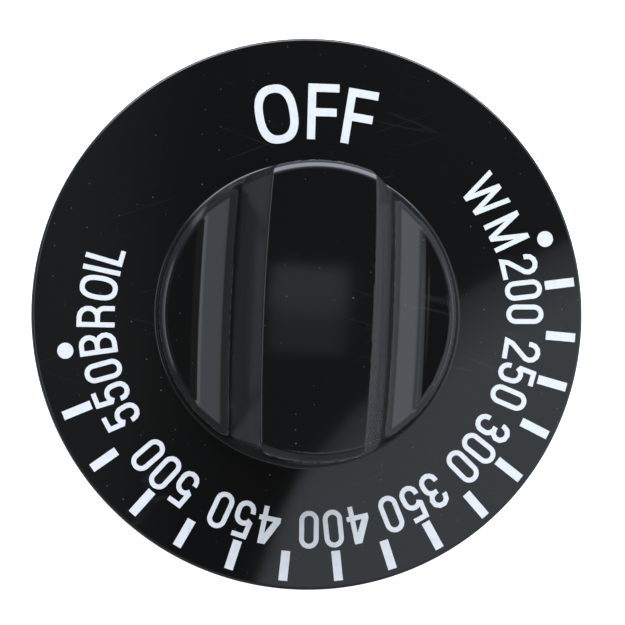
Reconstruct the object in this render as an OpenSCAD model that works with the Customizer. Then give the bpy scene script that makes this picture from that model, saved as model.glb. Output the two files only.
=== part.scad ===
// Oven thermostat knob: a moulded dial with a grip bar, a spring clip in its stem socket, and its print.
// Millimetres. The stem's axis is Z, the back rim lies on z = 0, and OFF points to +Y.

/* [Dial] */
// Diameter of the dial at its back rim
dial_d = 76.2; // [66:0.1:90]
// Height of the printed face above the back rim
face_h = 3.2; // [2.8:0.1:5]
// Radius of the dial's rounded front edge
dial_edge_r = 0.9; // [0.4:0.1:1.4]
// Draft of the dial's side, in degrees
dial_draft = 3; // [1:0.5:6]

/* [Hub] */
// Diameter of the hub where it leaves the face
hub_d = 41.6; // [40:0.1:46]
// Height of the two flat lands above the face
land_h = 1.6; // [1:0.1:1.9]
// Radius of the lands' rounded outer edge
land_edge_r = 2; // [2:0.1:3]
// Draft of the hub's round wall, in degrees
hub_draft = 2.8; // [2:0.1:7]

/* [Grip bar] */
// Height of the bar's top above the face
grip_h = 16.8; // [14:0.1:22]
// Width of the bar's top at its middle
grip_w = 15; // [13:0.1:17]
// Draft of the bar's long sides, in degrees
grip_draft = 14.3; // [10:0.1:16]
// Radius of the bar's bowed sides, seen from above
grip_bow_r = 322; // [200:1:500]
// Radius of the hollow curve at the foot of the bar
cove_r = 3.4; // [2:0.1:4.2]
// Distance between the inner edges of the two lands
land_span = 30.5; // [29:0.1:33]
// Slope of the ramp from each land up to the bar, in degrees
ramp_slope = 25.4; // [18:0.1:32]
// Radius of the bar's long top edges
grip_edge_r = 0.8; // [0.3:0.1:1.2]
// Radius of the top edge at the bar's two ends
grip_end_r = 1; // [0.4:0.1:1.5]

/* [Back] */
// Width of the back rim that meets the panel
rim_w = 2.6; // [2:0.1:4]
// Depth of the recess inside the back rim
recess_h = 1.1; // [0.6:0.1:1.4]
// Wall left round the hollow in the hub and bar
wall = 2.6; // [2:0.1:3.2]
// Draft of the hollow's end walls, in degrees
hollow_draft = 2; // [1:0.5:4]
// Diameter of the boss that takes the stem
boss_d = 13; // [11.5:0.1:15]
// Distance from the back rim's plane up to the boss's mouth
boss_lift = 0.6; // [0.2:0.1:1]
// Thickness of the two webs that tie the boss to the bar's sides
web_t = 2.2; // [1.6:0.1:3]

/* [Stem socket] */
// Diameter of the valve stem
stem_d = 6.35; // [6:0.05:6.5]
// Thickness of the stem across its flat
stem_across = 4.76; // [4.5:0.01:5]
// Radial play of the stem in the D-shaped part of the socket
stem_play = 0.025; // [0.01:0.005:0.1]
// Radial play of the stem in the round mouth of the socket
mouth_play = 0.225; // [0.21:0.005:0.3]
// Length of the socket's round mouth
mouth_l = 4; // [3:0.1:5]
// Depth of the whole socket from the boss's mouth
socket_l = 14.4; // [13:0.1:15]
// Width of the bevel round the socket's mouth
mouth_bevel = 0.4; // [0.2:0.1:0.6]

/* [Spring clip] */
// Thickness of the spring strip
clip_t = 0.35; // [0.25:0.05:0.45]
// Width of the spring strip
clip_w = 3.6; // [3:0.1:3.9]
// Height of the strip's bow, which presses on the stem's flat
clip_bow = 0.3; // [0.15:0.05:0.4]
// Thickness of the key wall that the clip straddles
key_t = 1.2; // [0.9:0.1:1.4]
// Play behind the clip in its slot
clip_play = 0.05; // [0.03:0.01:0.15]
// Play on each side of the clip in its slot
clip_side_play = 0.15; // [0.05:0.05:0.2]
// Length of the clip's front leg
clip_front_l = 7.6; // [6:0.1:8]
// Length of the clip's rear leg
clip_rear_l = 5.2; // [4:0.1:5.6]

/* [Print] */
// Thickness of the printed ink
ink_t = 0.12; // [0.08:0.01:0.2]
// How far the print's middle lies to the right of the dial's
print_shift = 0.33; // [0:0.01:0.5]
// How far the print's middle lies below the dial's
print_drop = 0.08; // [0:0.01:0.2]
// Distance from the dial's edge to the outer ends of the tick marks
tick_margin = 1.35; // [1.2:0.05:3]
// Length of a tick mark
tick_l = 4.1; // [3:0.1:4.5]
// Width of a tick mark
tick_w = 1.22; // [1:0.02:1.6]
// Diameter of a round dot
dot_d = 2.2; // [1.6:0.1:3]
// Distance from the dial's edge to the middles of the dots
dot_margin = 4; // [3.4:0.1:4.6]
// Gap between the tick marks and the numbers
number_gap = 0.45; // [0.3:0.05:0.9]
// Height of a number
number_h = 5.2; // [4.6:0.1:5.4]
// Width of a digit
digit_w = 2.68; // [2.3:0.02:2.8]
// Width of the strokes in the numbers and small words
number_stroke = 0.68; // [0.5:0.02:0.8]
// Distance between the middles of neighbouring digits
digit_pitch = 3.36; // [3.2:0.02:3.5]
// Gap between the hub and the foot of the large word
off_gap = 3.3; // [1.5:0.1:4]
// Height of the large word
off_h = 7.7; // [7:0.1:8]
// Width of the strokes in the large word
off_stroke = 1.12; // [1:0.01:1.4]

/* [Hidden] */
$fn = 96;
// Overlap that joins solids of one moulding, and the reach of cuts past a face
bite = 1;
// Steps in each rounded edge of an outline
arc_steps = 7;

dial_r = dial_d / 2;
hub_r = hub_d / 2;
face_z = face_h;
land_z = face_z + land_h;
top_z = face_z + grip_h;
// The bar's ends rise from just inside the foot of the lands' rounded edge
plug_step = 0.05;
plug_r = hub_r - plug_step;
hub_top_r = plug_r - grip_h * tan(hub_draft);
grip_half_w = grip_w / 2;
grip_lean = tan(grip_draft);
land_half_span = land_span / 2;

// The stem's flat lies on the -Y side, opposite OFF
stem_r = stem_d / 2;
flat_y = stem_across - stem_r;
socket_r = stem_r + stem_play;
mouth_r = stem_r + mouth_play;
socket_top_z = boss_lift + socket_l;
// The key wall's front face leaves room for the clip's front leg and its bow
key_front_y = flat_y + clip_bow + clip_t;
key_back_y = key_front_y + key_t;
// The clip's bend hangs below the key wall and stays above the round mouth
bend_r = (key_t + clip_t) / 2;
bend_gap = 0.1;
mouth_gap = 0.3;
slot_head = 0.4;
mouth_top_z = boss_lift + mouth_l;
key_z = mouth_top_z + mouth_gap + clip_t / 2 + bend_r + bend_gap;
bend_z = key_z - bend_gap;
clip_rear_top_z = bend_z + clip_rear_l;

// The scale's rings are set in from the dial's edge, and the large word out from the hub
tick_ring_r = dial_r - tick_margin - tick_l / 2;
dot_ring_r = dial_r - dot_margin;
number_ring_r = tick_ring_r - tick_l / 2 - number_gap - number_h / 2;
off_ring_r = hub_r + off_gap + off_h / 2;

// Angles are clockwise from OFF, as the dial is read
tick_angles = [
    80.4, 92.5, 103.4, 114.5, 125.6, 136.6, 148.7, 159.8, 171.7, 183.7, 195.6, 207.7, 219.5, 232.4, 245.1
];
dot_angles = [69.6, 258.9];
number_angles = [80.9, 103.8, 126.1, 149.2, 171.7, 195.9, 220.2, 245.6];
number_digits = [[2, 0, 0], [2, 5, 0], [3, 0, 0], [3, 5, 0], [4, 0, 0], [4, 5, 0], [5, 0, 0], [5, 5, 0]];
// The letters of OFF, of WM and of BROIL, how far each is turned back from pointing straight outwards, and how
// far those of the two smaller words are set in from the ring of numbers
off_angles = [-12.5, 0.8, 11.3];
off_turns = [0, 1.7, 4.5];
warm_angles = [53.2, 64.5];
warm_turns = [-0.5, 2.3];
warm_set_in = [0.5, 0.2];
broil_angles = [259.4, 266.7, 274.4, 279.2, 283.5];
broil_turns = [0, -1.7, -2.2, -0.4, -0.2];
broil_set_in = [0, 0, 0.2, 0.2, 0.2];

// A point at a distance and an angle from the origin
function polar(r, a) = [r * cos(a), r * sin(a)];
// Points along an arc from one angle to the other
function arc(centre, r, from, to, steps = arc_steps) =
    [for (i = [0:steps]) centre + polar(r, from + (to - from) * i / steps)];
// Unit vector at right angles to the way from p to q, on its left
function left_of(p, q) = [p.y - q.y, q.x - p.x] / norm(q - p);
// Offset of a path's point i to its left, so that a stroke keeps its width round corners
function side(path, i) =
    let (before = i > 0 ? left_of(path[i - 1], path[i]) : left_of(path[0], path[1]))
    let (after = i < len(path) - 1 ? left_of(path[i], path[i + 1]) : before)
    (before + after) / (1 + before * after);
// Outline of a stroke of constant width along a path
function stroke_outline(path, width) = concat(
    [for (i = [0:len(path) - 1]) path[i] + side(path, i) * width / 2],
    [for (i = [len(path) - 1:-1:0]) path[i] - side(path, i) * width / 2]
);
// Outline of an oval with full shoulders, fuller the lower its power
function oval_outline(w, h, power = 0.8) = [
    for (i = [0:8 * arc_steps - 1])
        let (a = (i + 0.5) * 45 / arc_steps)
        [
            w / 2 * sign(cos(a)) * pow(abs(cos(a)), power),
            h / 2 * sign(sin(a)) * pow(abs(sin(a)), power)
        ]
];
// Outline of a bar with half-round ends
function pill_outline(w, h) = concat(
    arc([0, (h - w) / 2], w / 2, 0, 180, 2 * arc_steps),
    arc([0, (w - h) / 2], w / 2, 180, 360, 2 * arc_steps)
);
// Rounded top corner of a drafted side, from the wall up to the flat top
function top_corner(x, z, draft, r) =
    arc([x - r * (1 - sin(draft)) / cos(draft), z - r], r, draft, 90);

// One long side of the grip, from the land's inner edge up the ramp, round the cove and up the wall
function grip_side_outline() =
    let (
        rise = tan(ramp_slope),
        drop = top_z - land_z - land_half_span * rise,
        foot_x = (grip_half_w + drop * grip_lean) / (1 - rise * grip_lean),
        foot = [foot_x, land_z + (land_half_span - foot_x) * rise],
        wall_out = polar(1, grip_draft),
        ramp_out = polar(1, 90 - ramp_slope),
        cove = foot + cove_r * (wall_out + ramp_out) / (1 + wall_out * ramp_out)
    )
    concat(
        [[land_half_span + (land_z - face_z + bite) / rise, face_z - bite]],
        arc(cove, cove_r, 270 - ramp_slope, 180 + grip_draft),
        top_corner(grip_half_w, top_z, grip_draft, grip_edge_r)
    );

// Everything on the inner side of one bowed long side, turned about a far axis that bows it
module grip_side() {
    reach = hub_r + 3;
    axis_x = grip_half_w - grip_bow_r;
    sweep = 2 * atan(reach / (grip_bow_r - grip_half_w - reach)) + 1;
    outline = concat(
        [[-reach, top_z], [-reach, face_z - bite]],
        grip_side_outline()
    );
    translate([axis_x, 0, 0])
        rotate([0, 0, -sweep / 2])
            rotate_extrude(angle = sweep, $fn = 720)
                polygon([for (p = outline) p - [axis_x, 0]]);
}

// The round plug that the bar and its ramps are cut from
module grip_plug() {
    base_r = plug_r + bite * tan(hub_draft);
    rotate_extrude()
        polygon(concat(
            [[0, top_z], [0, face_z - bite], [base_r, face_z - bite]],
            top_corner(hub_top_r, top_z, hub_draft, grip_end_r)
        ));
}

module grip_bar() {
    intersection() {
        grip_plug();
        grip_side();
        mirror([1, 0, 0])
            grip_side();
    }
}

// The dial with its rounded edge, its back rim and the low round base that carries the lands
module dial_disc() {
    edge_x = dial_r - face_z * tan(dial_draft);
    edge_start = asin(1 - land_h / land_edge_r);
    rotate_extrude($fn = 180)
        polygon(concat(
            [[0, land_z], [0, recess_h], [dial_r - rim_w, recess_h], [dial_r - rim_w, 0], [dial_r, 0]],
            top_corner(edge_x, face_z, dial_draft, dial_edge_r),
            arc([hub_r - land_edge_r * cos(edge_start), land_z - land_edge_r], land_edge_r, edge_start, 90)
        ));
}

// The hollow in the back of the bar, which keeps the wall even
module hollow() {
    roof_z = top_z - wall;
    floor_z = land_z - wall;
    inset = wall / cos(grip_draft);
    roof_x = grip_half_w + (top_z - roof_z) * grip_lean - inset;
    floor_x = grip_half_w + (top_z - floor_z) * grip_lean - inset;
    end_r = hub_top_r - wall;
    intersection() {
        rotate([90, 0, 0])
            linear_extrude(height = hub_d, center = true)
                polygon([
                    [-floor_x, -bite], [floor_x, -bite], [floor_x, floor_z],
                    [roof_x, roof_z], [-roof_x, roof_z], [-floor_x, floor_z]
                ]);
        translate([0, 0, -bite])
            cylinder(h = roof_z + bite, r1 = end_r + (roof_z + bite) * tan(hollow_draft), r2 = end_r);
    }
}

// The boss that takes the stem, with a web on each side of it
module boss() {
    roof_z = top_z - wall;
    foot_x = grip_half_w + (top_z - land_z) * grip_lean - wall / 2;
    translate([0, 0, boss_lift])
        cylinder(h = roof_z - boss_lift + bite, d = boss_d);
    intersection() {
        translate([-foot_x, -web_t / 2, recess_h])
            cube([2 * foot_x, web_t, roof_z - recess_h + bite]);
        grip_bar_core();
    }
}

// Keeps the webs inside the bar's own walls
module grip_bar_core() {
    half_top = grip_half_w - wall / 2;
    half_foot = half_top + top_z * grip_lean;
    rotate([90, 0, 0])
        linear_extrude(height = boss_d, center = true)
            polygon([[-half_foot, 0], [half_foot, 0], [half_top, top_z], [-half_top, top_z]]);
}

// The socket: a round mouth, then a D with the key wall, which the clip's slot passes behind
module stem_socket() {
    slot_w = clip_w + 2 * clip_side_play;
    slot_y = key_back_y + clip_t + clip_play;
    slot_top_z = clip_rear_top_z + slot_head;
    translate([0, 0, boss_lift - bite])
        cylinder(h = mouth_l + bite, r = mouth_r);
    translate([0, 0, boss_lift - mouth_bevel])
        cylinder(h = 2 * mouth_bevel, r1 = mouth_r + 2 * mouth_bevel, r2 = mouth_r);
    translate([0, 0, boss_lift])
        cylinder(h = key_z - boss_lift, r = socket_r);
    intersection() {
        cylinder(h = socket_top_z, r = socket_r);
        translate([-stem_d, -key_front_y, boss_lift])
            cube([2 * stem_d, 2 * stem_d, socket_top_z]);
    }
    translate([-slot_w / 2, -slot_y, boss_lift - bite])
        cube([slot_w, slot_y, key_z - boss_lift + bite]);
    translate([-slot_w / 2, -slot_y, boss_lift - bite])
        cube([slot_w, slot_y - key_back_y, slot_top_z - boss_lift + bite]);
}

module dial_body() {
    color([0.03, 0.03, 0.035])
        difference() {
            union() {
                difference() {
                    union() {
                        dial_disc();
                        grip_bar();
                    }
                    hollow();
                }
                boss();
            }
            stem_socket();
        }
}

// Middle line of the clip's strip: down the rear leg, round the bend, up the bowed front leg
function clip_path() =
    let (
        rear_y = -(key_back_y + clip_t / 2),
        front_y = -(key_front_y - clip_t / 2),
        bend = [-(key_front_y + key_back_y) / 2, bend_z],
        straight_l = 1,
        bow_steps = 12
    )
    concat(
        [[rear_y, clip_rear_top_z]],
        arc(bend, bend_r, 180, 360, 2 * arc_steps),
        [for (i = [0:bow_steps])
            [
                front_y + clip_bow * (1 - cos(360 * i / bow_steps)) / 2,
                bend_z + straight_l + (clip_front_l - straight_l) * i / bow_steps
            ]
        ]
    );

module spring_clip() {
    color([0.72, 0.73, 0.75])
        rotate([90, 0, 90])
            linear_extrude(height = clip_w, center = true)
                polygon(stroke_outline(clip_path(), clip_t));
}

// A drawn stroke of constant width
module stroke(path, width) {
    polygon(stroke_outline(path, width));
}

// A slanted stroke with level ends, from one x at the foot to another at the top
module slant(foot_x, top_x, h, s) {
    half = s / 2 * norm([top_x - foot_x, h]) / h;
    polygon([
        [foot_x - half, -h / 2], [foot_x + half, -h / 2],
        [top_x + half, h / 2], [top_x - half, h / 2]
    ]);
}

// The glyphs below are centred on the origin, w wide and h high, in strokes of width s
module digit_zero(w, h, s) {
    difference() {
        polygon(pill_outline(w, h));
        polygon(pill_outline(w - 2 * s, h - 2 * s));
    }
}

module digit_two(w, h, s) {
    x = (w - s) / 2;
    y = (h - s) / 2;
    stroke(concat(
        [[-x, y - x - 0.06 * h]],
        arc([0, y - x], x, 180, -30),
        [[-x + 0.1 * w, -y + 0.16 * h], [-x, -y], [x + s / 2, -y]]
    ), s);
}

module digit_three(w, h, s) {
    x = (w - s) / 2;
    y = (h - s) / 2;
    waist = y - 2 * x;
    stroke(concat([[-x, y - x - 0.05 * h]], arc([0, y - x], x, 180, -90), [[-0.14 * w, waist]]), s);
    stroke(concat([[-0.14 * w, waist]], arc([0, waist - x], x, 90, 0),
        arc([0, -y + x], x, 0, -180), [[-x, -y + x + 0.05 * h]]), s);
}

module digit_four(w, h, s) {
    stem_x = 0.2 * w;
    left_x = -0.64 * w;
    right_x = 0.485 * w;
    bar_y = -0.185 * h;
    translate([stem_x - s / 2, -h / 2])
        square([s, h]);
    translate([left_x, bar_y - s / 2])
        square([right_x - left_x, s]);
    polygon([
        [left_x, bar_y + s / 2], [left_x, bar_y], [left_x + 1.2 * s, bar_y],
        [stem_x, h / 2 - 1.2 * s], [stem_x, h / 2], [stem_x - s, h / 2]
    ]);
}

module digit_five(w, h, s) {
    x = (w - s) / 2;
    y = (h - s) / 2;
    bowl_y = 0.11 * h - x;
    stroke([[x, y], [-0.82 * x, y], [-x, bowl_y + 0.55 * x]], s);
    stroke(concat(arc([0, bowl_y], x, 160, 0), arc([0, -y + x], x, 0, -180), [[-x, -y + x + 0.05 * h]]), s);
}

module letter_o(w, h, s) {
    difference() {
        polygon(oval_outline(w, h));
        polygon(oval_outline(w - 2 * s, h - 2 * s));
    }
}

module letter_f(w, h, s) {
    translate([-w / 2, -h / 2])
        square([s, h]);
    translate([-w / 2, h / 2 - s])
        square([w, s]);
    translate([-w / 2, -0.01 * h - s / 2])
        square([0.93 * w, s]);
}

module letter_i(h, s) {
    square([s, h], center = true);
}

module letter_l(w, h, s) {
    translate([-w / 2, -h / 2])
        square([s, h]);
    translate([-w / 2, -h / 2])
        square([w, s]);
}

// A bowl from the stem out to the right and back, between two heights
module bowl(w, y_low, y_high, s) {
    r = (y_high - y_low) / 2;
    turn_x = (w - s) / 2 - r;
    stroke(concat([[-w / 2 + s / 2, y_high]], arc([turn_x, (y_low + y_high) / 2], r, 90, -90),
        [[-w / 2 + s / 2, y_low]]), s);
}

module letter_b(w, h, s) {
    y = (h - s) / 2;
    waist = 0.02 * h;
    translate([-w / 2, -h / 2])
        square([s, h]);
    bowl(0.96 * w, waist, y, s);
    bowl(w, -y, waist, s);
}

module letter_r(w, h, s) {
    y = (h - s) / 2;
    waist = -0.05 * h;
    leg_x = (w - s) / 2;
    turn_r = 0.3 * w;
    translate([-w / 2, -h / 2])
        square([s, h]);
    bowl(w, waist, y, s);
    stroke(concat(
        [[-leg_x, waist]],
        arc([leg_x - turn_r, waist - turn_r], turn_r, 90, 0),
        [[leg_x, -h / 2]]
    ), s);
}

module letter_w(w, h, s) {
    x = (w - s) / 2;
    for (m = [0, 1])
        mirror([m, 0]) {
            slant(x / 2, x, h, s);
            slant(x / 2, 0, h, s);
        }
}

module letter_m(w, h, s) {
    x = (w - s) / 2;
    for (m = [0, 1])
        mirror([m, 0]) {
            slant(x, x, h, s);
            slant(0, x, h, s);
        }
}

module digit(value, w, h, s) {
    if (value == 0)
        digit_zero(w, h, s);
    if (value == 2)
        digit_two(1.07 * w, h, s);
    if (value == 3)
        digit_three(w, h, s);
    if (value == 4)
        digit_four(w, h, s);
    if (value == 5)
        digit_five(w, h, s);
}

// Puts a flat shape on the face as ink, its top pointing outwards, at a clockwise angle from OFF
module ink_at(angle, r, turn = 0) {
    translate([print_shift, -print_drop, face_z])
        rotate([0, 0, -angle])
            translate([0, r, 0])
                rotate([0, 0, turn])
                    linear_extrude(height = ink_t)
                        children();
}

module printed_numbers() {
    step = digit_pitch / number_ring_r * 180 / PI;
    color([0.9, 0.92, 0.95])
        for (i = [0:len(number_digits) - 1])
            for (k = [0:2])
                ink_at(number_angles[i] + (k - 1) * step, number_ring_r)
                    digit(number_digits[i][k], digit_w, number_h, number_stroke);
}

// Each letter's width is a share of its height
module printed_words() {
    h = number_h;
    s = number_stroke;
    r = number_ring_r;
    color([0.9, 0.92, 0.95]) {
        ink_at(off_angles[0], off_ring_r, off_turns[0])
            letter_o(0.76 * off_h, 1.06 * off_h, off_stroke);
        ink_at(off_angles[1], off_ring_r, off_turns[1])
            letter_f(0.56 * off_h, off_h, off_stroke);
        ink_at(off_angles[2], off_ring_r, off_turns[2])
            letter_f(0.55 * off_h, off_h, off_stroke);
        ink_at(warm_angles[0], r - warm_set_in[0], warm_turns[0])
            letter_w(1.02 * h, h, s);
        ink_at(warm_angles[1], r - warm_set_in[1], warm_turns[1])
            letter_m(0.8 * h, h, s);
        ink_at(broil_angles[0], r - broil_set_in[0], broil_turns[0])
            letter_b(0.55 * h, h, s);
        ink_at(broil_angles[1], r - broil_set_in[1], broil_turns[1])
            letter_r(0.56 * h, h, s);
        ink_at(broil_angles[2], r - broil_set_in[2], broil_turns[2])
            letter_o(0.64 * h, h, s);
        ink_at(broil_angles[3], r - broil_set_in[3], broil_turns[3])
            letter_i(h, s);
        ink_at(broil_angles[4], r - broil_set_in[4], broil_turns[4])
            letter_l(0.42 * h, h, s);
    }
}

module printed_ticks() {
    color([0.9, 0.92, 0.95]) {
        for (a = tick_angles)
            ink_at(a, tick_ring_r)
                square([tick_w, tick_l], center = true);
        for (a = dot_angles)
            ink_at(a, dot_ring_r)
                circle(d = dot_d);
    }
}

dial_body();
spring_clip();
printed_numbers();
printed_words();
printed_ticks();
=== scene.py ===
from functools import partial

import bmesh
import bpy
import numpy as np
from mathutils import Matrix


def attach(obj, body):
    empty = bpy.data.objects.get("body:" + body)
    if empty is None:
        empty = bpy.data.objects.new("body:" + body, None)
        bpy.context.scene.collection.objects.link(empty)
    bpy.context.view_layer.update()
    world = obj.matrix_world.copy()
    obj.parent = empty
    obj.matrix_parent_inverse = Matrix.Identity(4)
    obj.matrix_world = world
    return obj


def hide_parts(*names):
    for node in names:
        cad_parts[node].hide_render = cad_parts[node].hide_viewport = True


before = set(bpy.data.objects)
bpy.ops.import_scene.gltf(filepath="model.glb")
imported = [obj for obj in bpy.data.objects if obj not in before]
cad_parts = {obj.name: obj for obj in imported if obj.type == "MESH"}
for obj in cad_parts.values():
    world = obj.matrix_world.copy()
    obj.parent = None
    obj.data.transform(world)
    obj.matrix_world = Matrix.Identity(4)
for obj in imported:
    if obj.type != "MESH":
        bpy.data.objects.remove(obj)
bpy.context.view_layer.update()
mm = 0.001


def linearOf(hexColour):  # sRGB hex such as "#1a1b1d", turned linear, with alpha 1
    srgb = np.array([int(hexColour[i:i + 2], 16) for i in (1, 3, 5)]) / 255
    linear = np.where(srgb <= 0.04045, srgb / 12.92, ((srgb + 0.055) / 1.055) ** 2.4)
    return (*linear.tolist(), 1.0)


def addNode(tree, kind, inputs=(), **settings):
    # One node with its settings. Each input, by number or name, is a value, a socket, or a node to feed it.
    node = tree.nodes.new(kind)
    for name, value in settings.items():
        setattr(node, name, value)
    for key, value in inputs.items() if isinstance(inputs, dict) else enumerate(inputs):
        if isinstance(value, bpy.types.Node):
            value = value.outputs[0]
        if isinstance(value, bpy.types.NodeSocket):
            tree.links.new(value, node.inputs[key])
        else:
            node.inputs[key].default_value = value
    return node


def ease(low, high, value):  # 0 below low, 1 above high, with a smooth S between
    t = np.clip((value - low) / (high - low), 0, 1)
    return t * t * (3 - 2 * t)


def gridFaces(rows, columns, start=0, closed=True):  # quads of a grid whose points run row by row
    i, j = np.meshgrid(np.arange(rows - 1), np.arange(columns if closed else columns - 1), indexing="ij")
    k = (j + 1) % columns
    corners = np.stack([i * columns + j, i * columns + k, (i + 1) * columns + k, (i + 1) * columns + j], -1)
    return corners.reshape(-1, 4) + start


def makePiece(name, points, faces, material):  # points in mm, faces as lists of corner numbers
    mesh = bpy.data.meshes.new(name)
    mesh.from_pydata((points * mm).tolist(), [], faces)
    mesh.validate()
    mesh.update()
    mesh.materials.append(material)
    piece = bpy.data.objects.new(name, mesh)
    bpy.context.collection.objects.link(piece)
    return piece


def newMaterial(name, colour, roughness):  # a material, its Principled shader and its node tree
    material = bpy.data.materials.new(name)
    material.use_nodes = True
    shader = material.node_tree.nodes["Principled BSDF"]
    shader.inputs["Base Color"].default_value = linearOf(colour)
    shader.inputs["Roughness"].default_value = roughness
    return material, shader, material.node_tree


phenolicLook = {
    # wallSheenGrey / wallSheenGrey is painted sheen: the grey that stands in for the steep walls'
    # reflections
    "black": "#0c0c0c", "wallSheenGrey": "#49494b", "dust": "#55585b", "hairline": "#1b1c1d",
    "polish": 0.03, "drawnPolish": 0.16,
    "waveLength": 10.0, "waveDepth": 0.004,
    "speckSpacing": 2.2, "speckRadius": 0.15, "speckCrispness": 20.0, "speckShare": 0.5,
    "hairlineTurns": (0.35, 2.9), "hairlineLength": 60.0, "hairlineSpacing": 4.0,
}


def phenolicGlossBlack():
    # Black phenolic, compression moulded in a polished die: deep black with a clear mirror on top, which
    # waves a little over 10 mm. The steep walls are less clear where they were drawn out of the die, and
    # carry a painted grey sheen, in bands along them, that stands in for their reflections, strongest on the
    # walls facing right as painted light from the right. Handling has left hairlines, and pale specks of
    # dust lie on whatever faces up.
    look = phenolicLook
    material, shader, tree = newMaterial("phenolic_gloss_black", look["black"], look["polish"])
    shader.inputs["IOR"].default_value = 1.6
    add = partial(addNode, tree)
    inMm = add("ShaderNodeMapping", {
        "Vector": add("ShaderNodeTexCoord").outputs["Object"], "Scale": (1000, 1000, 1000)
    })
    sideways, _, up = add("ShaderNodeSeparateXYZ", [add("ShaderNodeNewGeometry").outputs["Normal"]]).outputs
    # steep walls: their real duller finish, and where the painted grey sheen goes
    steepWalls = add("ShaderNodeMapRange", {
        "Value": add("ShaderNodeMath", [up], operation="ABSOLUTE"), "From Min": 0.45, "From Max": 0.2
    }, interpolation_type="SMOOTHSTEP")
    bands = add("ShaderNodeTexNoise", {
        "Vector": add("ShaderNodeMapping", {"Vector": inMm, "Scale": (0.02, 0.02, 0.5)}),
        "Scale": 1.0, "Detail": 3.0
    })
    bandShare = add("ShaderNodeMapRange", {"Value": bands, "From Min": 0.3, "From Max": 0.7, "To Min": 0.35})
    # painted light: walls facing right get more of the grey sheen, as if lit more strongly from the right
    litFromRight = add("ShaderNodeMapRange", {"Value": sideways, "From Min": 0.0, "From Max": 0.8, "To Min": 0.28})
    # painted sheen: grey on the steep walls in bands, standing in for their reflections
    wallSheenBands = add("ShaderNodeMath", [steepWalls, bandShare], operation="MULTIPLY")
    wallSheenShare = add("ShaderNodeMath", [wallSheenBands, litFromRight], operation="MULTIPLY")

    facesUp = add("ShaderNodeMapRange", {"Value": up, "From Min": 0.75, "From Max": 0.9})
    cells = add("ShaderNodeTexVoronoi", {
        "Vector": inMm, "Scale": 1 / look["speckSpacing"]
    }, voronoi_dimensions="2D")
    chance = add("ShaderNodeSeparateXYZ", [cells.outputs["Color"]])
    radius = add("ShaderNodeMapRange", {
        "Value": chance.outputs["X"], "From Min": 1 - look["speckShare"], "From Max": 1.0,
        "To Max": look["speckRadius"] / look["speckSpacing"]
    })
    within = add("ShaderNodeMath", [radius, cells.outputs["Distance"]], operation="SUBTRACT")
    speck = add("ShaderNodeMath", [within, look["speckCrispness"]], operation="MULTIPLY", use_clamp=True)
    paleness = add("ShaderNodeMath", [chance.outputs["Y"], facesUp], operation="MULTIPLY")
    speckShare = add("ShaderNodeMath", [speck, paleness], operation="MULTIPLY")

    patches = add("ShaderNodeTexNoise", {"Vector": inMm, "Scale": 0.12, "Detail": 2.0})
    patch = add("ShaderNodeMapRange", {"Value": patches, "From Min": 0.56, "From Max": 0.72})
    handled = add("ShaderNodeMath", [patch, facesUp], operation="MULTIPLY")
    lineShare = 0.0
    for turn in look["hairlineTurns"]:
        stretched = add("ShaderNodeMapping", {
            "Vector": inMm, "Rotation": (0, 0, turn),
            "Scale": (look["hairlineLength"], look["hairlineSpacing"], look["hairlineSpacing"])
        }, vector_type="TEXTURE")
        strokes = add("ShaderNodeTexNoise", {"Vector": stretched, "Scale": 1.0, "Detail": 0.0})
        offLine = add("ShaderNodeMath", [strokes, 0.5], operation="SUBTRACT")
        line = add("ShaderNodeMapRange", {
            "Value": add("ShaderNodeMath", [offLine], operation="ABSOLUTE"),
            "From Min": 0.012, "From Max": 0.004
        })
        lineShare = add("ShaderNodeMath", [
            line, handled, lineShare
        ], operation="MULTIPLY_ADD", use_clamp=True)

    colour = linearOf(look["black"])
    # the first layer is the painted wall sheen; hairlines and dust are the phenolic's own marks
    for share, name in ((wallSheenShare, "wallSheenGrey"), (lineShare, "hairline"), (speckShare, "dust")):
        layer = add("ShaderNodeMix", {0: share, 6: colour, 7: linearOf(look[name])}, data_type="RGBA")
        colour = layer.outputs[2]
    tree.links.new(colour, shader.inputs["Base Color"])
    dullness = add("ShaderNodeMath", [steepWalls, speckShare], operation="MAXIMUM")
    polish = add("ShaderNodeMapRange", {
        "Value": dullness, "To Min": look["polish"], "To Max": look["drawnPolish"]
    })
    tree.links.new(polish.outputs[0], shader.inputs["Roughness"])
    waves = add("ShaderNodeTexNoise", {"Vector": inMm, "Scale": 1 / look["waveLength"], "Detail": 1.0})
    bump = add("ShaderNodeBump", {"Strength": 1.0, "Distance": look["waveDepth"] * mm, "Height": waves})
    tree.links.new(bump.outputs[0], shader.inputs["Normal"])
    return material


inkLook = {
    "white": "#d7d8da", "thin": "#c9cacd", "pinhole": "#838588",
    "meshPitch": 0.3, "pinholeSpacing": 1.1, "pinholeRadius": 0.055, "pinholeCrispness": 30.0,
}


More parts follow.
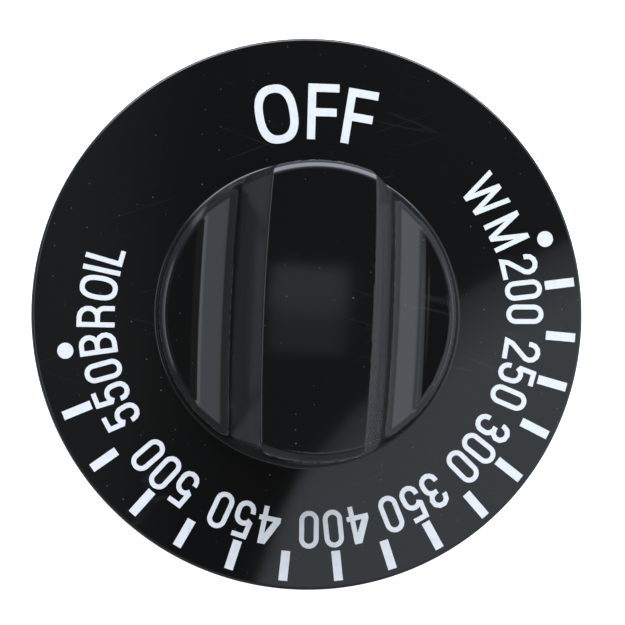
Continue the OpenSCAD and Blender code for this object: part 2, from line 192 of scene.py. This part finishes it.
def inkScreenWhite():
    # Screen-printed epoxy ink: a cool white film, satin. The screen's mesh leaves a faint grain, drawn three
    # times as coarse as it is so that it shows; the film thins a little in patches and has a few pinholes.
    look = inkLook
    material, shader, tree = newMaterial("ink_screen_white", look["white"], 0.42)
    add = partial(addNode, tree)
    inMm = add("ShaderNodeMapping", {
        "Vector": add("ShaderNodeTexCoord").outputs["Object"], "Scale": (1000, 1000, 1000)
    })
    patches = add("ShaderNodeTexNoise", {"Vector": inMm, "Scale": 0.9, "Detail": 3.0})
    thin = add("ShaderNodeMapRange", {"Value": patches, "From Min": 0.5, "From Max": 0.75, "To Max": 0.7})
    cells = add("ShaderNodeTexVoronoi", {
        "Vector": inMm, "Scale": 1 / look["pinholeSpacing"]
    }, voronoi_dimensions="2D")
    chance = add("ShaderNodeSeparateXYZ", [cells.outputs["Color"]])
    radius = add("ShaderNodeMapRange", {
        "Value": chance.outputs["X"], "From Min": 0.7, "From Max": 1.0,
        "To Max": look["pinholeRadius"] / look["pinholeSpacing"]
    })
    within = add("ShaderNodeMath", [radius, cells.outputs["Distance"]], operation="SUBTRACT")
    pinhole = add("ShaderNodeMath", [within, look["pinholeCrispness"]], operation="MULTIPLY", use_clamp=True)
    colour = linearOf(look["white"])
    for share, name in ((thin, "thin"), (pinhole, "pinhole")):
        layer = add("ShaderNodeMix", {0: share, 6: colour, 7: linearOf(look[name])}, data_type="RGBA")
        colour = layer.outputs[2]
    tree.links.new(colour, shader.inputs["Base Color"])
    satin = add("ShaderNodeMapRange", {"Value": patches, "To Min": 0.36, "To Max": 0.5})
    tree.links.new(satin.outputs[0], shader.inputs["Roughness"])
    grain = add("ShaderNodeTexNoise", {"Vector": inMm, "Scale": 1 / look["meshPitch"], "Detail": 1.0})
    bump = add("ShaderNodeBump", {"Strength": 0.6, "Distance": 0.01 * mm, "Height": grain})
    tree.links.new(bump.outputs[0], shader.inputs["Normal"])
    return material


steelLook = {"bright": "#c3c5c7", "dull": "#94979b", "linePitch": 0.12, "stainSize": 2.5}


def steelSpringStrip():
    # Cold-rolled spring steel strip, blanked and bent: bright grey, with fine rolling lines along the strip,
    # drawn four times as coarse as they are, and faint tempering stains.
    look = steelLook
    material, shader, tree = newMaterial("steel_spring_strip", look["bright"], 0.28)
    shader.inputs["Metallic"].default_value = 1.0
    add = partial(addNode, tree)
    inMm = add("ShaderNodeMapping", {
        "Vector": add("ShaderNodeTexCoord").outputs["Object"], "Scale": (1000, 1000, 1000)
    })
    across = add("ShaderNodeMapping", {"Vector": inMm, "Scale": (1 / look["linePitch"], 0.1, 0.1)})
    lines = add("ShaderNodeTexNoise", {"Vector": across, "Scale": 1.0, "Detail": 2.0})
    stains = add("ShaderNodeTexNoise", {"Vector": inMm, "Scale": 1 / look["stainSize"], "Detail": 3.0})
    stain = add("ShaderNodeMapRange", {"Value": stains, "From Min": 0.45, "From Max": 0.8})
    colour = add("ShaderNodeMix", {
        0: stain, 6: linearOf(look["bright"]), 7: linearOf(look["dull"])
    }, data_type="RGBA")
    tree.links.new(colour.outputs[2], shader.inputs["Base Color"])
    polish = add("ShaderNodeMapRange", {
        "Value": lines, "From Min": 0.3, "From Max": 0.7, "To Min": 0.2, "To Max": 0.38
    })
    tree.links.new(polish.outputs[0], shader.inputs["Roughness"])
    bump = add("ShaderNodeBump", {"Strength": 0.5, "Distance": 0.004 * mm, "Height": lines})
    tree.links.new(bump.outputs[0], shader.inputs["Normal"])
    return material


phenolic = phenolicGlossBlack()
ink = inkScreenWhite()
steel = steelSpringStrip()
print("materials made")


dial = {
    "rimRadius": 38.1, "faceHeight": 3.2, "edgeRadius": 0.4, "sideDraft": 3.0,
    "hubRadius": 20.8, "hubDraft": 2.8, "hubAt": (-0.2, -0.2), "topHeight": 20.0,
    "gripHalfWidth": 7.5, "gripDraft": 14.3, "bowRadius": 322.0, "coveRadius": 3.4,
    "landHeight": 4.8, "landEdge": 15.25, "landRise": (0.9, 2.4), "rampSlope": 27.5, "rampEase": 0.29,
    "longEdgeRound": 0.3, "landRound": 1.4, "endRound": 1.3, "footFillet": 0.3, "landFillet": 0.2,
    "sinkAcross": 0.01, "sinkAlong": 0.02,  # how far the middle of the grip's top lies below its rims
    "rimWidth": 2.6, "recessDepth": 1.1, "rimFootRound": 0.15, "backRound": 0.18,
    "around": 440, "along": 140, "handover": 24.0,  # the mesh: points round, rings, and where the rim begins
}


def roundedMeet(a, b, radius):  # two solids' distances, intersected with a rounded edge of that radius
    beyond = np.hypot(np.maximum(a + radius, 0), np.maximum(b + radius, 0))
    return np.minimum(np.maximum(a, b), -radius) + beyond


def scoopProfile(d, landRise):
    # Height and slope of the scoop beside the grip, at distance d from its middle: a steep straight wall, a
    # cove arc that touches wall and ramp, a ramp that is a parabola from there down to the land's edge, and
    # the land, a straight line that rises a little outwards. Ramp and land meet as the upper branch of a
    # hyperbola.
    radius, half, top = dial["coveRadius"], dial["gripHalfWidth"], dial["topHeight"]
    land, edge = dial["landHeight"], dial["landEdge"]
    draft, slope = np.radians(dial["gripDraft"]), np.radians(dial["rampSlope"])
    lean, fall = np.tan(draft), np.tan(slope)
    lineEnd = edge - dial["rampEase"]  # where the ramp would reach the land's height if it ran straight
    footX = (half + (top - land - lineEnd * fall) * lean) / (1 - fall * lean)
    footZ = land + (lineEnd - footX) * fall
    wallOut = np.array([np.cos(draft), np.sin(draft)])
    rampOut = np.array([np.sin(slope), np.cos(slope)])
    centreX, centreZ = np.array([footX, footZ]) + radius * (wallOut + rampOut) / (1 + wallOut @ rampOut)
    touchWall, touchRamp = centreX - radius * wallOut[0], centreX - radius * rampOut[0]
    length = edge - touchRamp
    ease2 = fall * dial["rampEase"] / length ** 2
    past = np.clip(d - touchRamp, 0, fall / (2 * ease2))
    ramp = land + (lineEnd - touchRamp) * fall - fall * past + ease2 * past ** 2
    across = np.clip(d - centreX, -0.9999 * radius, 0.9999 * radius)
    depth = np.sqrt(radius ** 2 - across ** 2)
    wall = top - (d - half) / lean
    height = np.where(d < touchWall, wall, np.where(d < touchRamp, centreZ - depth, ramp))
    onRamp = 2 * ease2 * past - fall
    steep = np.where(d < touchWall, -1 / lean, np.where(d < touchRamp, across / depth, onRamp))
    rise = np.tan(np.radians(landRise))
    level = land + (d - edge) * rise
    soft = np.hypot(height - level, dial["landFillet"])
    share = (1 + (height - level) / soft) / 2
    return (height + level + soft) / 2, steep * share + rise * (1 - share)


def dialDistance(x, y, z):
    # Signed distance, near enough, of a point from the dial's front: the top plane, the two bowed scoops and
    # the round drafted plug meet in rounded edges, and a small fillet joins that hub to the flat face.
    axis = dial["bowRadius"] - dial["gripHalfWidth"]
    d = np.hypot(np.abs(x) + axis, y) - axis
    height, steep = scoopProfile(np.maximum(d, 1), np.where(x < 0, *dial["landRise"]))
    scoop = (z - height) / np.hypot(1, steep)
    sunkAcross = dial["sinkAcross"] * (1 - (x / dial["gripHalfWidth"]) ** 2)
    sunkAlong = dial["sinkAlong"] * (1 - (y / 19) ** 2)
    top = z - dial["topHeight"] + np.maximum(sunkAcross + sunkAlong, 0)
    draft = np.radians(dial["hubDraft"])
    fromAxis = np.hypot(x - dial["hubAt"][0], y - dial["hubAt"][1])
    plug = (fromAxis - dial["hubRadius"] + (z - dial["faceHeight"]) * np.tan(draft)) * np.cos(draft)
    edge = dial["landRound"] + (dial["endRound"] - dial["landRound"]) * ease(5.5, 9.5, z)
    hub = roundedMeet(roundedMeet(top, scoop, dial["longEdgeRound"]), plug, edge)
    face = z - dial["faceHeight"]
    return -roundedMeet(-hub, -face, dial["footFillet"])


def dialHeight(x, y):  # height of the front at x, y, by halving the interval where the distance changes sign
    low, high = np.full(x.shape, dial["faceHeight"] - 0.5), np.full(x.shape, dial["topHeight"] + 0.5)
    for _ in range(36):
        middle = (low + high) / 2
        inside = dialDistance(x, y, middle) < 0
        low, high = np.where(inside, middle, low), np.where(inside, high, middle)
    return (low + high) / 2


def hubPoints():
    # A fan of straight lines from the grip's spine out to a circle on the face. Along each line the points
    # are spread evenly by length in mm plus 1.3 times the turning in radians, so that rounds get more.
    angle = np.arange(dial["around"]) * 2 * np.pi / dial["around"]
    outX, outY = dial["handover"] * np.cos(angle), dial["handover"] * np.sin(angle)
    spineY = 0.55 * outY
    t = np.linspace(0, 1, 1400)[:, None]
    x, y = t * outX, spineY + t * (outY - spineY)
    z = dialHeight(x, y)
    run = np.hypot(np.diff(x, axis=0), np.diff(y, axis=0))
    rise = np.diff(z, axis=0)
    lean = np.arctan2(rise, run)
    turn = np.abs(np.diff(lean, axis=0, prepend=lean[:1]))
    spent = np.cumsum(np.hypot(run, rise) + 1.3 * np.minimum(turn, 0.5), axis=0)
    spent = np.vstack([np.zeros(dial["around"]), spent])
    spent /= spent[-1]
    for _ in range(6):  # neighbouring lines share their spacing, so that the rings run smoothly
        spent = (np.roll(spent, 1, 1) + 2 * spent + np.roll(spent, -1, 1)) / 4
    wanted = np.linspace(0, 1, dial["along"])
    share = np.stack([np.interp(wanted, spent[:, k], t[:, 0]) for k in range(dial["around"])], 1)
    x, y = share * outX, spineY + share * (outY - spineY)
    return np.stack([x, y, dialHeight(x, y)], -1)


def hubNormals(points):  # the gradient of the front's distance, by central differences, made length 1
    steps = 0.002 * np.eye(3)
    ahead = [dialDistance(*np.moveaxis(points + step, -1, 0)) for step in steps]
    behind = [dialDistance(*np.moveaxis(points - step, -1, 0)) for step in steps]
    gradient = np.stack(ahead, -1) - np.stack(behind, -1)
    return gradient / np.linalg.norm(gradient, axis=-1, keepdims=True)


def rimPoints():
    # A profile turned about Z: the face, its rounded edge, the drafted side, the back rim and the recess.
    face, rim, r = dial["faceHeight"], dial["rimRadius"], dial["edgeRadius"]
    draft = np.radians(dial["sideDraft"])
    edgeX = rim - face * np.tan(draft) - r * (1 - np.sin(draft)) / np.cos(draft)
    turn = np.linspace(np.pi / 2, draft, 12)
    edge = np.stack([edgeX + r * np.cos(turn), face - r + r * np.sin(turn)], 1)
    small = dial["rimFootRound"]
    foot = np.linspace(0, -np.pi / 2, 4)
    heel = np.stack([rim - small + small * np.cos(foot), small + small * np.sin(foot)], 1)
    inner = rim - dial["rimWidth"]
    toe = np.stack([inner + small - small * np.sin(-foot), small - small * np.cos(foot)], 1)
    floor = dial["recessDepth"]
    profile = np.vstack([
        [[r0, face] for r0 in (25.5, 28, 31, 34, 36)], edge, heel, toe,
        [[inner, floor - 0.3], [inner, floor + 0.005], [inner - 1, floor + 0.005]],
    ])
    angle = np.arange(dial["around"]) * 2 * np.pi / dial["around"]
    return np.stack([
        profile[:, :1] * np.cos(angle), profile[:, :1] * np.sin(angle),
        np.repeat(profile[:, 1:], dial["around"], 1)
    ], -1)


def backOfSolid():
    # The solid's own back: a copy of its mesh, merged into flat faces, without those that the dial's front
    # and rim now draw, and with its sharp edges rounded as a mould leaves them. Its floor runs out under the
    # lip that ends the rim's profile, which closes the seam.
    shell = bmesh.new()
    shell.from_mesh(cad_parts["dial_body"].data)
    bmesh.ops.remove_doubles(shell, verts=shell.verts, dist=2e-6)
    inner = dial["rimRadius"] - dial["rimWidth"] + 0.05
    points = np.array([v.co[:] for v in shell.verts]) / mm
    fromAxis = np.hypot(points[:, 0], points[:, 1])
    recessWall = (fromAxis > inner - 0.1) & (points[:, 2] < 0.1)
    behind = (dialDistance(*points.T) < -0.5) & (fromAxis < inner) & ~recessWall
    covered = [face for face in shell.faces if not all(behind[v.index] for v in face.verts)]
    bmesh.ops.delete(shell, geom=covered, context="FACES")
    bmesh.ops.dissolve_limit(shell, angle_limit=np.radians(0.6), verts=shell.verts, edges=shell.edges)
    inside = [edge for edge in shell.edges if len(edge.link_faces) == 2]
    sharp = [edge for edge in inside if edge.calc_face_angle() > np.radians(35)]
    bmesh.ops.bevel(
        shell, geom=sharp, offset=dial["backRound"] * mm, offset_type="OFFSET", segments=2, profile=0.5,
        affect="EDGES", clamp_overlap=False
    )
    bmesh.ops.remove_doubles(shell, verts=shell.verts, dist=2e-6)
    points = np.array([v.co[:] for v in shell.verts]) / mm
    faces = [[v.index for v in face.verts] for face in shell.faces]
    shell.free()
    return points, faces


def meanNormals(mesh):  # each point's normal: its faces' normals, added by area, so that flats stay flat
    normal, area = np.empty(3 * len(mesh.polygons)), np.empty(len(mesh.polygons))
    corners, at = np.empty(len(mesh.polygons), int), np.empty(len(mesh.loops), int)
    mesh.polygons.foreach_get("normal", normal)
    mesh.polygons.foreach_get("area", area)
    mesh.polygons.foreach_get("loop_total", corners)
    mesh.loops.foreach_get("vertex_index", at)
    total = np.zeros((len(mesh.vertices), 3))
    np.add.at(total, at, np.repeat(normal.reshape(-1, 3) * area[:, None], corners, axis=0))
    return total / np.linalg.norm(total, axis=1, keepdims=True)


hub = hubPoints()
rim = rimPoints()
dialGrid = np.concatenate([hub, rim])
backPoints, backFaces = backOfSolid()
frontFaces = gridFaces(len(dialGrid), dial["around"])[:, ::-1].tolist()
frontCount = dialGrid.shape[0] * dialGrid.shape[1]
dialBody = makePiece(
    "dial", np.concatenate([dialGrid.reshape(-1, 3), backPoints]),
    frontFaces + [[corner + frontCount for corner in face] for face in backFaces], phenolic
)
dialBody.data.shade_smooth()
normals = meanNormals(dialBody.data)
normals[:hub.shape[0] * hub.shape[1]] = hubNormals(hub).reshape(-1, 3)
dialBody.data.normals_split_custom_set_from_vertices(normals.tolist())
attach(dialBody, "root")
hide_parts("dial_body")
print("dial made:", len(dialBody.data.polygons), "faces")


for nodeName, finish in (
    ("printed_numbers", ink), ("printed_words", ink), ("printed_ticks", ink), ("spring_clip", steel)
):
    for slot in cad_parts[nodeName].material_slots:
        slot.material = finish
print("print and clip finished")


studio = {
    "floorSize": 4.0, "floorColour": "#f4f4f4", "floorGlow": 0.8,
    "overheadSize": 1.2, "overheadHeight": 1.5, "overheadPower": 5.0,
    "aim": (0.706, 0.253), "distance": 385.0, "tilt": 5.015, "towards": 203.6, "roll": 2.5,
    "pixelsPerMm": 7.2114, "imageWidth": 625,
}


def makeFloor():  # a plain pale square, just under the dial
    material, shader, tree = newMaterial("floor_matt_white", studio["floorColour"], 0.9)
    shader.inputs["Specular IOR Level"].default_value = 0.1
    shader.inputs["Emission Color"].default_value = linearOf("#ffffff")
    shader.inputs["Emission Strength"].default_value = studio["floorGlow"]
    half = studio["floorSize"] / mm / 2
    corners = [[x, y, -0.02] for x, y in ((-half, -half), (half, -half), (half, half), (-half, half))]
    floor = makePiece("floor", np.array(corners), [[0, 1, 2, 3]], material)
    floor.visible_glossy = False  # the photograph's white ground isn't mirrored in the knob either


def makeOverhead():  # a soft light straight above, too dull to be seen in the gloss, that lights the print
    data = bpy.data.lights.new("overhead", "AREA")
    data.size = studio["overheadSize"]
    data.energy = studio["overheadPower"]
    overhead = bpy.data.objects.new("overhead", data)
    overhead.location = (0, 0, studio["overheadHeight"])
    overhead.visible_glossy = False
    overhead.visible_camera = False
    bpy.context.collection.objects.link(overhead)


light = {
    "tint": "#e9f3ff",
    # Brightness of the room against the angle from straight up, in degrees: dark above, brighter all round,
    # and dark again straight below
    "room": (
        (0, 0.032), (8, 0.036), (16, 0.1), (26, 0.32), (36, 0.52), (90, 0.52), (125, 0.6), (150, 0.2),
        (180, 0.08)
    ),
    "roomLean": (0.65, 0.25, 0.0),
    # Which way a panel stands, its brightness, the angles from straight up where it fades in and out, and
    # how squarely a direction has to face it, where it starts and where it is full
    "panels": {
        "leftBox": ((-1, 0, 0), 0.82, (34, 42), (60, 50), (0.87, 0.95)),
        "leftStrip": ((-1, 0, 0), 1.6, (20, 28), (42, 34), (0.87, 0.95)),
        "rightBox": ((1, 0, 0), 0.92, (42, 53), (68, 60), (0.87, 0.95)),
        "windowBehind": ((0, 1, 0), 5.2, (32, 50), (100, 78), (0.6, 0.85)),
    },
    # The pale card overhead, round on its left and running out to the right, in slopes from straight up. It
    # fades in from its edge, quickly at the front and slowly at the back.
    "card": 0.79, "cardEdge": 0.26, "cardAt": (0.24, -0.102), "cardRadius": 0.181, "cardSoft": 0.002,
    "cardFade": (0.005, 0.024), "cardFadeFrom": (-0.025, 0.0), "cardEnd": (0.65, 0.45),
    # The lamp shade straight above, dim, brighter at its back, seen in the grip's top
    "shadeFront": 0.18, "shadeBack": 0.45, "shadeAt": (0.0798, 0.0359), "shadeSize": (0.008, 0.0125),
    "shadeSoft": 0.004,
    # A dim glow from the left half of the ceiling
    "glow": 0.12, "glowFrom": (0.04, -0.01),
}


def studioWorld():
    # Brightness = room + panels + card + shade + glow, each worked out from the direction's x, y and z.
    world = bpy.data.worlds.new("studio")
    bpy.context.scene.world = world
    world.use_nodes = True
    tree = world.node_tree
    add = partial(addNode, tree)
    direction = add("ShaderNodeTexCoord").outputs["Generated"]
    x, y, z = add("ShaderNodeSeparateXYZ", [direction]).outputs
    angle = add("ShaderNodeMath", [add("ShaderNodeMath", [z], operation="ARCCOSINE")], operation="DEGREES")
    flat = add("ShaderNodeVectorMath", [direction, (1, 1, 0)], operation="MULTIPLY")
    around = add("ShaderNodeVectorMath", [flat], operation="NORMALIZE")

    share = add("ShaderNodeMath", [angle, 180.0], operation="DIVIDE")
    room = add("ShaderNodeFloatCurve", {"Value": share})
    curve = room.mapping.curves[0]
    curve.points[0].location = (0, light["room"][0][1])
    curve.points[-1].location = (1, light["room"][-1][1])
    for degrees, brightness in light["room"][1:-1]:
        curve.points.new(degrees / 180, brightness)
    room.mapping.update()
    lean = add("ShaderNodeVectorMath", [around, light["roomLean"]], operation="DOT_PRODUCT").outputs["Value"]
    total = add("ShaderNodeMath", [room, lean, room], operation="MULTIPLY_ADD")

    for toward, strength, fadeIn, fadeOut, reach in light["panels"].values():
        facing = add("ShaderNodeVectorMath", [around, toward], operation="DOT_PRODUCT").outputs["Value"]
        for value, (start, end) in ((angle, fadeIn), (angle, fadeOut), (facing, reach)):
            step = add("ShaderNodeMapRange", {
                "Value": value, "From Min": start, "From Max": end, "To Max": strength
            }, interpolation_type="SMOOTHSTEP")
            strength = step.outputs[0]
        total = add("ShaderNodeMath", [total, strength], operation="ADD")

    overhead = add("ShaderNodeMath", [z, 0.3], operation="MAXIMUM")
    slopeX = add("ShaderNodeMath", [x, overhead], operation="DIVIDE")
    slopeY = add("ShaderNodeMath", [y, overhead], operation="DIVIDE")
    slopes = add("ShaderNodeCombineXYZ", [slopeX, slopeY])
    fromCard = add("ShaderNodeVectorMath", [slopes, (*light["cardAt"], 0)], operation="SUBTRACT")
    leftOnly = add("ShaderNodeVectorMath", [fromCard, (0, 9, 0)], operation="MINIMUM")
    away = add("ShaderNodeVectorMath", [leftOnly], operation="LENGTH").outputs["Value"]
    edge, (start, end) = light["cardRadius"], light["cardFadeFrom"]
    full = add("ShaderNodeMapRange", {
        "Value": slopeY, "From Min": start, "From Max": end,
        "To Min": edge - light["cardFade"][0], "To Max": edge - light["cardFade"][1]
    })
    card = add("ShaderNodeMapRange", {
        "Value": away, "From Min": edge, "From Max": full,
        "To Min": light["cardEdge"], "To Max": light["card"]
    }).outputs[0]
    for value, (start, end) in ((away, (edge, edge - light["cardSoft"])), (slopeX, light["cardEnd"])):
        step = add("ShaderNodeMapRange", {
            "Value": value, "From Min": start, "From Max": end, "To Max": card
        }, interpolation_type="SMOOTHSTEP")
        card = step.outputs[0]
    total = add("ShaderNodeMath", [total, card], operation="ADD")

    middle, size = light["shadeAt"][1], light["shadeSize"][1]
    shade = add("ShaderNodeMapRange", {
        "Value": slopeY, "From Min": middle - size / 2, "From Max": middle + size / 2,
        "To Min": light["shadeFront"], "To Max": light["shadeBack"]
    }, interpolation_type="SMOOTHSTEP").outputs[0]
    for value, middle, size in zip((slopeX, slopeY), light["shadeAt"], light["shadeSize"]):
        off = add("ShaderNodeMath", [value, middle], operation="SUBTRACT")
        step = add("ShaderNodeMapRange", {
            "Value": add("ShaderNodeMath", [off], operation="ABSOLUTE"),
            "From Min": size + light["shadeSoft"], "From Max": size, "To Max": shade
        }, interpolation_type="SMOOTHSTEP")
        shade = step.outputs[0]
    total = add("ShaderNodeMath", [total, shade], operation="ADD")
    start, end = light["glowFrom"]
    glow = add("ShaderNodeMapRange", {
        "Value": slopeX, "From Min": start, "From Max": end, "To Max": light["glow"]
    }, interpolation_type="SMOOTHSTEP")
    total = add("ShaderNodeMath", [total, glow], operation="ADD")
    background = tree.nodes["Background"]
    tree.links.new(total.outputs[0], background.inputs["Strength"])
    cool = add("ShaderNodeMapRange", {"Value": total, "From Min": 0.08, "From Max": 0.4})
    tint = add("ShaderNodeMix", {0: cool, 6: (1, 1, 1, 1), 7: linearOf(light["tint"])}, data_type="RGBA")
    tree.links.new(tint.outputs[2], background.inputs["Color"])


def makeCamera():  # above the dial, a few degrees off its axis, turned so that OFF leans as photographed
    tilt, towards, roll = (np.radians(studio[k]) for k in ("tilt", "towards", "roll"))
    back = np.array([np.sin(tilt) * np.cos(towards), np.sin(tilt) * np.sin(towards), np.cos(tilt)])
    right = np.cross([0, 1, 0], back)
    right /= np.linalg.norm(right)
    up = np.cross(back, right)
    turnedRight = np.cos(roll) * right + np.sin(roll) * up
    turnedUp = np.cos(roll) * up - np.sin(roll) * right
    place = (np.array([*studio["aim"], 0]) + studio["distance"] * back) * mm
    data = bpy.data.cameras.new("camera")
    data.sensor_width = 36
    data.lens = studio["pixelsPerMm"] * studio["distance"] * data.sensor_width / studio["imageWidth"]
    camera = bpy.data.objects.new("camera", data)
    bpy.context.collection.objects.link(camera)
    camera.matrix_world = Matrix([
        [turnedRight[i], turnedUp[i], back[i], place[i]] for i in range(3)
    ] + [[0, 0, 0, 1]])
    bpy.context.scene.camera = camera


makeFloor()
makeOverhead()
studioWorld()
makeCamera()
bpy.context.scene.view_settings.view_transform = "Standard"
print("studio made")
